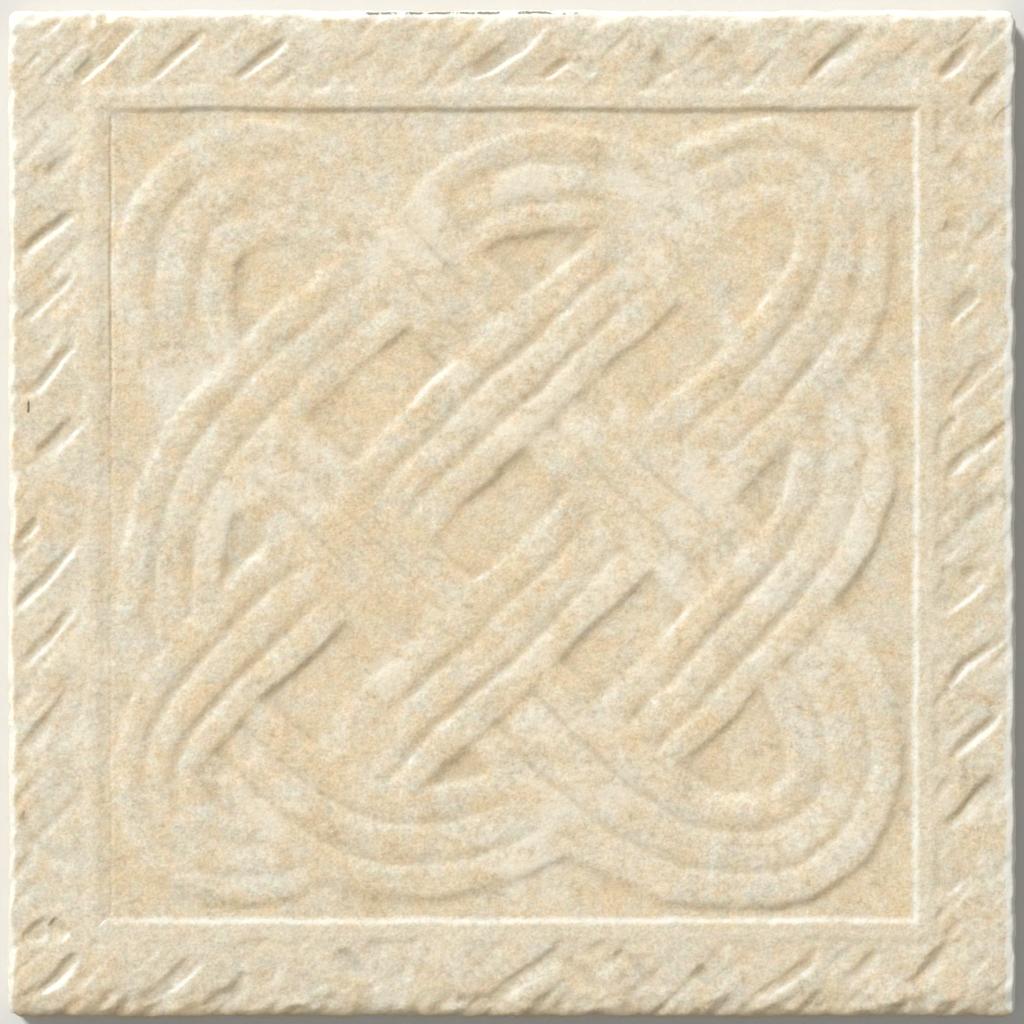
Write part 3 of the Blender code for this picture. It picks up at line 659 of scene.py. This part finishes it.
# What the colour follows at each point of the face: how far it turns to the light at the
# upper left, which paints light and shade into the warmth, pale worn spots and spots of
# painted highlight, hollows below a blurred copy of the surface, painted highlight on flanks
# that face up and left (positive) and painted shade on those that face down and right
# (negative), the panel's ground, the crowns of the strands, the whole panel, its middle,
# the fillet as a bell across it, with a painted highlight on its bottom and right sides,
# the pale rims at the top and right, and the painted shade along the bottom edge
def colourValues(points, lines, z, onRibbon, crown, square, depth):
    shape, zone = tileShape, colourZones
    half, panelHalf = shape["side"] / 2, shape["panelHalf"]
    surface = z.reshape(len(lines), len(lines))
    slopeX, slopeY = (np.gradient(surface, lines, axis=axis) for axis in (0, 1))
    # Slope towards the upper left, where the light is
    slope = ((slopeX - slopeY) * zone["slopeShare"]).ravel()
    below = (blurred(surface, zone["hollowReach"]) - surface).ravel()
    atEdge = zone["highlightAtEdge"]
    inside = atEdge + (1 - atEdge) * ease(depth, *zone["highlightInside"])
    # Painted light and shade: positive where the face turns to the light at the upper left, for a
    # painted highlight that is weaker near the edge, and negative where it turns away, for painted
    # shade
    paintedLightAndShade = ease(slope, *zone["highlightSlope"]) * inside - ease(-slope, *zone["shadedSlope"])
    middle = 0.5 * (shape["filletInnerTop"] + shape["filletOuterFoot"])
    xOut, yOut = points.T / half
    onFillet = np.exp(-((square - middle) / zone["filletWidth"]) ** 2)
    # Painted highlight on the fillet's bottom and right sides, whose inner walls face the light
    lightFacingSide = ease(xOut - yOut, *zone["filletLightFacingSide"])
    highLevel, highlightGain = zone["filletLevels"]
    least = zone["rimPaleLeast"]
    upRight = yOut + zone["rimPaleRight"] * xOut
    paleSide = least + (1 - least) * ease(upRight, *zone["rimPaleFrom"])
    # Painted shade along the bottom edge, which faces away from the light
    bottomShade = ease(-yOut, *zone["bottomShadeFrom"])
    rim = np.clip(1 - depth / zone["rimWidth"], 0.0, 1.0) * paleSide
    cornerGap = np.hypot(points[:, 0] + half, points[:, 1] - half)
    rightGap = half - edgeWave(points[:, 1], 0) - points[:, 0]
    for gap, width in ((cornerGap, zone["cornerRim"]), (rightGap, zone["rightRim"])):
        rim = np.maximum(rim, np.clip(zone["rimOverlap"] - gap / width, 0.0, 1.0))
    return {
        # How far the face turns to the light, for painted light and shade in the warmth
        "facingLight": np.clip(slope / zone["facingLightSlope"], -1.0, 1.0),
        "paleWearAndHighlight": paleWearAndHighlight(points),
        "hollow": np.clip(below / zone["hollowDepth"], -1.0, 1.0),
        "paintedLightAndShade": paintedLightAndShade,
        "ground": (square < panelHalf) * (1 - onRibbon),
        "crown": crown,
        "inPanel": 1 - ease(square, panelHalf, shape["filletInnerTop"]),
        "inward": 1 - ease(square, *zone["middleFades"]),
        "fillet": onFillet * (highLevel + highlightGain * lightFacingSide),
        "rim": rim * (1 - bottomShade),
        "bottomShade": bottomShade,
    }


# How much the colour is painted pale, partly as wear and partly as a painted highlight:
# 1 at each of these places, falling off as a bell, the exponential of minus the square of
# the distance over its radius
def paleWearAndHighlight(points):
    share = np.zeros(len(points))
    for x, y, reach in paleWearAndHighlightPlaces:
        away = np.linalg.norm(points - (x, y), axis=1)
        share = np.maximum(share, np.exp(-((away / reach) ** 2)))
    return share


# Mean over a moving window along both axes, done twice for a soft edge: a running sum
# less the same sum a window earlier
def blurred(surface, reach):
    window = 2 * reach + 1
    for axis in (0, 1, 0, 1):
        margins = [(reach + 1, reach) if axis == k else (0, 0) for k in (0, 1)]
        total = np.cumsum(np.pad(surface, margins, "edge"), axis=axis)
        ends = np.arange(surface.shape[axis]) + window
        surface = (np.take(total, ends, axis) - np.take(total, ends - window, axis)) / window
    return surface


# A shader socket that can be used in sums: each operator adds a Math node
class Wire:
    def __init__(self, shading, socket):
        self.shading, self.socket = shading, socket

    def math(self, operation, first, second):
        return self.shading.math(operation, first, second)

    def __add__(self, other):
        return self.math("ADD", self, other)

    def __radd__(self, other):
        return self.math("ADD", other, self)

    def __sub__(self, other):
        return self.math("SUBTRACT", self, other)

    def __rsub__(self, other):
        return self.math("SUBTRACT", other, self)

    def __mul__(self, other):
        return self.math("MULTIPLY", self, other)

    def __rmul__(self, other):
        return self.math("MULTIPLY", other, self)

    def __abs__(self):
        return self.math("ABSOLUTE", self, 0.0)


# A material under construction: add() makes any node from its type, settings and sockets
class Shading:
    def __init__(self, name):
        self.material = bpy.data.materials.new(name)
        self.material.use_nodes = True
        self.tree = self.material.node_tree
        self.shader = self.tree.nodes["Principled BSDF"]

    def add(self, kind, settings, sockets, output=0):
        node = self.tree.nodes.new(kind)
        for key, value in settings.items():
            setattr(node, key, value)
        for key, value in sockets.items():
            self.feed(node.inputs[key], value)
        return Wire(self, node.outputs[output])

    def feed(self, target, value):
        if isinstance(value, Wire):
            self.tree.links.new(value.socket, target)
        else:
            target.default_value = value

    def math(self, operation, first, second):
        return self.add("ShaderNodeMath", {"operation": operation}, {0: first, 1: second})

    def noise(self, place, scale, detail, roughness, distortion):
        return self.add("ShaderNodeTexNoise", {}, {
            "Vector": place, "Scale": scale, "Detail": detail, "Roughness": roughness,
            "Distortion": distortion})

    def band(self, value, low, high):  # 0 at low, 1 at high, smooth between
        return self.add("ShaderNodeMapRange", {"interpolation_type": "SMOOTHSTEP"}, {
            "Value": value, "From Min": low, "From Max": high, "To Min": 0.0, "To Max": 1.0})

    def attribute(self, name):
        return self.add("ShaderNodeAttribute", {"attribute_name": name}, {}, 2)

    def mixed(self, share, first, second, way="MIX"):
        return self.add("ShaderNodeMix", {"data_type": "RGBA", "blend_type": way}, {
            0: share, 6: first, 7: second}, 2)


# What a user would change in the ceramic: linear colours, tints that multiply them,
# its gloss, and the places and sizes of its cracks, in metres
ceramicLook = {
    "tan": (0.585, 0.485, 0.325, 1.0),
    "cream": (0.765, 0.678, 0.513, 1.0),
    "pale": (0.89, 0.84, 0.71, 1.0),
    # White of the worn rim, and of the painted highlight on flanks that face the light
    "wornWhiteAndHighlight": (0.80, 0.80, 0.745, 1.0),
    "rust": (0.50, 0.31, 0.15, 1.0),
    # Brown of the darker hollows, and of the painted shade on flanks that face away from the light
    # and along the bottom edge
    "hollowAndShadeBrown": (0.40, 0.33, 0.21, 1.0),
    "darkGrain": (0.84, 0.84, 0.85, 1.0),
    "lightGrain": (1.14, 1.14, 1.13, 1.0),
    "warmTint": (1.045, 0.945, 0.80, 1.0),
    "coolTint": (0.966, 1.024, 1.10, 1.0),
    "pinkTint": (1.025, 0.978, 1.0, 1.0),
    "greenTint": (0.975, 1.013, 1.0, 1.0),
    "roughness": 0.74,
    "gloss": 0.3,
    "reliefOfGrain": 0.00012,
    "filletCalm": 0.5,
    "crack": (0.10, 0.09, 0.075, 1.0),
    "crackShare": 0.8,
    "nickPlace": (-0.0957, 0.0212),
    "nickAcross": (0.00032, 0.00012),
    "nickAlong": (0.00132, 0.00096),
    "nickWander": 0.0012,
    "rimCracksHeight": 0.0992,
    "rimCracksFrom": -0.029,
    "rimCracksTo": 0.0125,
    "rimCracksFade": 0.001,
    "rimCracksAcross": (0.00036, 0.00012),
    "rimCracksWander": 0.0016,
    "rimCracksBreak": (-0.04, 0.02),
    "wallTop": 0.0081,
    "wallFade": 0.0005,
}

# Noises of the ceramic: lumps per metre, detail, roughness, distortion, and whether the
# noise is taken elsewhere, so that it doesn't follow the others
ceramicNoises = {
    "clouds": (48.0, 5.0, 0.7, 0.2, False),
    "mottle": (130.0, 5.0, 0.75, 0.2, True),
    "specks": (620.0, 3.0, 0.75, 0.0, False),
    "grain": (1700.0, 2.0, 0.7, 0.0, True),
    "hue": (170.0, 3.5, 0.7, 0.0, False),
    "wideHue": (45.0, 3.0, 0.6, 0.0, True),
    "blush": (420.0, 3.0, 0.7, 0.0, True),
}
noiseElsewhere = (0.37, 0.11, 0.23)  # metres
ceramicZones = (  # the zones of the face that colourValues gives
    "hollow", "paintedLightAndShade", "facingLight", "paleWearAndHighlight", "ground", "crown", "inPanel", "inward",
    "fillet", "rim", "bottomShade")

# Weights by which noises (less their mean) and the zones of the face are summed
ceramicSums = {
    "mottling": {"mottle": 1.1, "specks": 0.6},
    # The fillet's weight lightens its tone, most as a painted highlight on its bottom and right
    # sides
    "tone": {"fillet": 0.09, "ground": -0.02, "crownKept": 0.07},
    "warmth": {
        # The weight on the slope towards the light paints light and shade: cooler where the face
        # turns to the light at the upper left, warmer where it turns away
        "hue": 2.4, "wideHue": 0.7, "facingLight": -0.4, "inPanel": 0.04, "ground": 0.12,
        "inward": 0.2, "always": -0.06},
    "roughness": {"mottle": 0.2},
    "height": {"grain": 0.3, "specks": 0.75, "mottle": 1.2},
}

# Shares of the layers of colour: weights of a sum, the values of that sum at which the
# share is none and full, and the full share
ceramicShares = {
    "crownKept": ({"mottle": 1.0, "clouds": 0.6}, (-0.08, 0.12), 1.0),
    "cream": ({"tone": 1.0}, (-0.4, 0.0), 1.0),
    "light": ({"tone": 1.0}, (0.0, 0.45), 1.0),
    "warm": ({"warmth": 1.0}, (-0.6, 0.65), 1.0),
    "pink": ({"blush": 1.0}, (-0.2, 0.2), 1.0),
    "lightGrain": ({"grain": 0.6, "specks": 0.4}, (-0.2, 0.2), 1.0),
    # Pale patches, which also carry the painted highlights and worn spots at the given places
    "patches": (
        {"clouds": 1.0, "specks": 0.3, "crownKept": 0.05, "ground": -0.05,
         "fillet": -0.04, "paleWearAndHighlight": 0.3}, (0.01, 0.19), 0.45),
    "rust": ({"specks": 1.0, "hue": 0.5}, (0.16, 0.28), 0.45),
    # Darker brown in the deepest hollows
    "darkInHollows": ({"hollow": 1.0, "specks": 0.5}, (0.45, 1.2), 0.3),
    # Painted shade along the bottom edge
    "paintedBottomShade": ({"bottomShade": 1.0, "mottle": 0.9, "specks": 0.5}, (0.3, 1.3), 0.42),
    # Painted shade on flanks that face away from the light
    "shaded": ({"specks": 0.4, "paintedLightAndShade": -1.0}, (0.1, 0.9), 0.3),
    # Painted highlight on flanks that face the light
    "lit": (
        {"paintedLightAndShade": 1.0, "mottle": 0.5, "specks": 0.3, "inPanel": -0.25}, (0.1, 0.7), 0.75),
    "worn": ({"rim": 1.0, "mottle": 1.4, "hue": 0.7}, (0.28, 0.52), 0.8),
}


# Mask of the dark cracks: a short upright nick near the left edge, and broken thin
# lines that wander just inside the top edge, both on the face only
def cracks(s, place, wobble, breaks):
    look = ceramicLook
    x, y, z = (s.add("ShaderNodeSeparateXYZ", {}, {0: place}, axis) for axis in range(3))
    nickX, nickY = look["nickPlace"]
    across = abs(x - nickX + look["nickWander"] * wobble)
    nick = s.band(across, *look["nickAcross"])
    nick = nick * s.band(abs(y - nickY), *look["nickAlong"])
    above = abs(y - look["rimCracksHeight"] + look["rimCracksWander"] * wobble)
    line = s.band(above, *look["rimCracksAcross"])
    line = line * s.band(breaks, *look["rimCracksBreak"])
    first, last, fade = look["rimCracksFrom"], look["rimCracksTo"], look["rimCracksFade"]
    line = line * s.band(x, first - fade, first) * s.band(x, last + fade, last)
    onFace = s.band(z, look["wallTop"], look["wallTop"] + look["wallFade"])
    return s.math("MAXIMUM", nick, line) * onFace


# Adds up the parts named in the weights, each times its weight
def weighted(parts, weights):
    terms = [parts[name] * weight for name, weight in weights.items()]
    return sum(terms[1:], terms[0])


# Share of one layer of colour, as its row in ceramicShares gives it
def layerShare(s, parts, name):
    weights, (none, full), most = ceramicShares[name]
    return s.band(weighted(parts, weights), none, full) * most


def makeCeramic():
    look = ceramicLook
    s = Shading("ceramicBody")
    place = s.add("ShaderNodeTexCoord", {}, {}, 3)
    elsewhere = s.add(
        "ShaderNodeVectorMath", {"operation": "ADD"}, {0: place, 1: noiseElsewhere})
    parts = {name: s.attribute(name) for name in ceramicZones}
    for name, (*grain, shifted) in ceramicNoises.items():
        parts[name] = s.noise(elsewhere if shifted else place, *grain) - 0.5
    parts["always"] = 1.0

    # The fillet is less mottled, and a strand's crown is pale where it is least worn
    calm = 1 - look["filletCalm"] * parts["fillet"]
    parts["crownKept"] = parts["crown"] * layerShare(s, parts, "crownKept")
    mottling = weighted(parts, ceramicSums["mottling"]) * calm
    parts["tone"] = mottling + weighted(parts, ceramicSums["tone"])
    parts["warmth"] = weighted(parts, ceramicSums["warmth"]) * calm

    colour = s.mixed(layerShare(s, parts, "cream"), look["tan"], look["cream"])
    colour = s.mixed(layerShare(s, parts, "light"), colour, look["pale"])
    tints = (("warm", "coolTint", "warmTint"), ("pink", "greenTint", "pinkTint"),
             ("lightGrain", "darkGrain", "lightGrain"))
    for name, low, high in tints:
        tint = s.mixed(layerShare(s, parts, name), look[low], look[high])
        colour = s.mixed(1.0, colour, tint, "MULTIPLY")

    share = {name: layerShare(s, parts, name) for name in (
        "patches", "rust", "darkInHollows", "paintedBottomShade", "shaded", "lit", "worn")}
    cracked = cracks(s, place, parts["mottle"], parts["hue"])
    # Layers over the colour: pale patches, some of them painted highlight; rust; brown in the
    # hollows and painted shade along the bottom edge; painted shade on flanks that face away from
    # the light; painted highlight on flanks that face it; the worn white rim; the cracks
    layers = (
        (share["patches"], "pale"), (share["rust"] * calm, "rust"),
        (s.math("MAXIMUM", share["darkInHollows"], share["paintedBottomShade"]), "hollowAndShadeBrown"),
        (share["shaded"], "hollowAndShadeBrown"), (share["lit"], "wornWhiteAndHighlight"),
        (share["worn"], "wornWhiteAndHighlight"), (cracked * look["crackShare"], "crack"))
    for amount, name in layers:
        colour = s.mixed(amount, colour, look[name])
    s.feed(s.shader.inputs["Base Color"], colour)
    roughness = look["roughness"] + weighted(parts, ceramicSums["roughness"])
    s.feed(s.shader.inputs["Roughness"], roughness)

    bump = s.add("ShaderNodeBump", {}, {
        "Strength": 1.0, "Distance": look["reliefOfGrain"],
        "Height": weighted(parts, ceramicSums["height"])})
    s.feed(s.shader.inputs["Normal"], bump)
    s.shader.inputs["Specular IOR Level"].default_value = look["gloss"]
    return s.material


# What a user would change in the floor: its reach each way, colour and roughness
floorLook = {"reach": 3.0, "paint": (0.72, 0.72, 0.71, 1.0), "roughness": 0.9}


# Pale floor below the tile, and its plain matt finish
def makeFloor():
    reach = floorLook["reach"]
    signs = ((-1, -1), (1, -1), (1, 1), (-1, 1))
    corners = [(reach * x, reach * y, 0.0) for x, y in signs]
    mesh = bpy.data.meshes.new("floor")
    mesh.from_pydata(corners, [], [(0, 1, 2, 3)])
    floor = bpy.data.objects.new("floor", mesh)
    bpy.context.scene.collection.objects.link(floor)
    s = Shading("floorPaint")
    s.shader.inputs["Base Color"].default_value = floorLook["paint"]
    s.shader.inputs["Roughness"].default_value = floorLook["roughness"]
    mesh.materials.append(s.material)
    return floor


# What a user would change in the light: place, size, colour and power of each lamp
lampPlaces = {
    "keyLamp": {
        "from": (-5.0, 6.0, 4.5), "size": 2.5, "power": 1075.0,
        "colour": (1.0, 0.985, 0.96)},
    "fillLamp": {
        "from": (0.9, -0.5, 2.3), "size": 1.8, "power": 4.0,
        "colour": (0.96, 0.98, 1.0)},
}
worldLook = {"Color": (0.98, 0.975, 0.95, 1.0), "Strength": 0.30}  # light from all round


def makeLight():
    for name, lamp in lampPlaces.items():
        light = bpy.data.lights.new(name, "AREA")
        light.shape = "DISK"
        light.size, light.energy, light.color = lamp["size"], lamp["power"], lamp["colour"]
        holder = bpy.data.objects.new(name, light)
        bpy.context.scene.collection.objects.link(holder)
        place = Vector(lamp["from"])
        turn = (-place).to_track_quat("-Z", "Y").to_matrix().to_4x4()
        holder.matrix_world = Matrix.Translation(place) @ turn
    world = bpy.data.worlds.new("softWorld")
    world.use_nodes = True
    for key, value in worldLook.items():
        world.node_tree.nodes["Background"].inputs[key].default_value = value
    bpy.context.scene.world = world
    bpy.context.scene.view_settings.view_transform = "Standard"


# Camera straight above the face, as in the photograph, whose side is 1024 pixels
cameraView = {
    "lens": 200.0,
    "sensor": 36.0,
    "imagePixels": 1024,
    "tileLeft": 8,
    "tileRight": 1016,
    "tileTop": 10,
    "tileBottom": 1018,
    "nearest": 0.05,
    "farthest": 20.0,
    "planeShare": 0.7,  # how high the plane lies that fills the frame, of the height
}


def makeCamera():
    view = cameraView
    pixel = (cadHigh.x - cadLow.x) / (view["tileRight"] - view["tileLeft"])
    middle = view["imagePixels"] / 2
    x = (middle - (view["tileLeft"] + view["tileRight"]) / 2) * pixel
    y = ((view["tileTop"] + view["tileBottom"]) / 2 - middle) * pixel
    frameWidth = view["imagePixels"] * pixel
    camera = bpy.data.cameras.new("camera")
    camera.lens, camera.sensor_width = view["lens"], view["sensor"]
    camera.clip_start, camera.clip_end = view["nearest"], view["farthest"]
    holder = bpy.data.objects.new("camera", camera)
    distance = frameWidth * view["lens"] / view["sensor"]
    holder.location = (x, y, view["planeShare"] * cadHigh.z + distance)
    bpy.context.scene.collection.objects.link(holder)
    bpy.context.scene.camera = holder


makeCamera()
print("camera placed")
tile = makeTile()
tile.data.materials.append(makeCeramic())
print("tile made,", len(tile.data.polygons), "faces")
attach(tile, "root")
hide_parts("tile")
makeFloor()
makeLight()
print("floor and light placed")
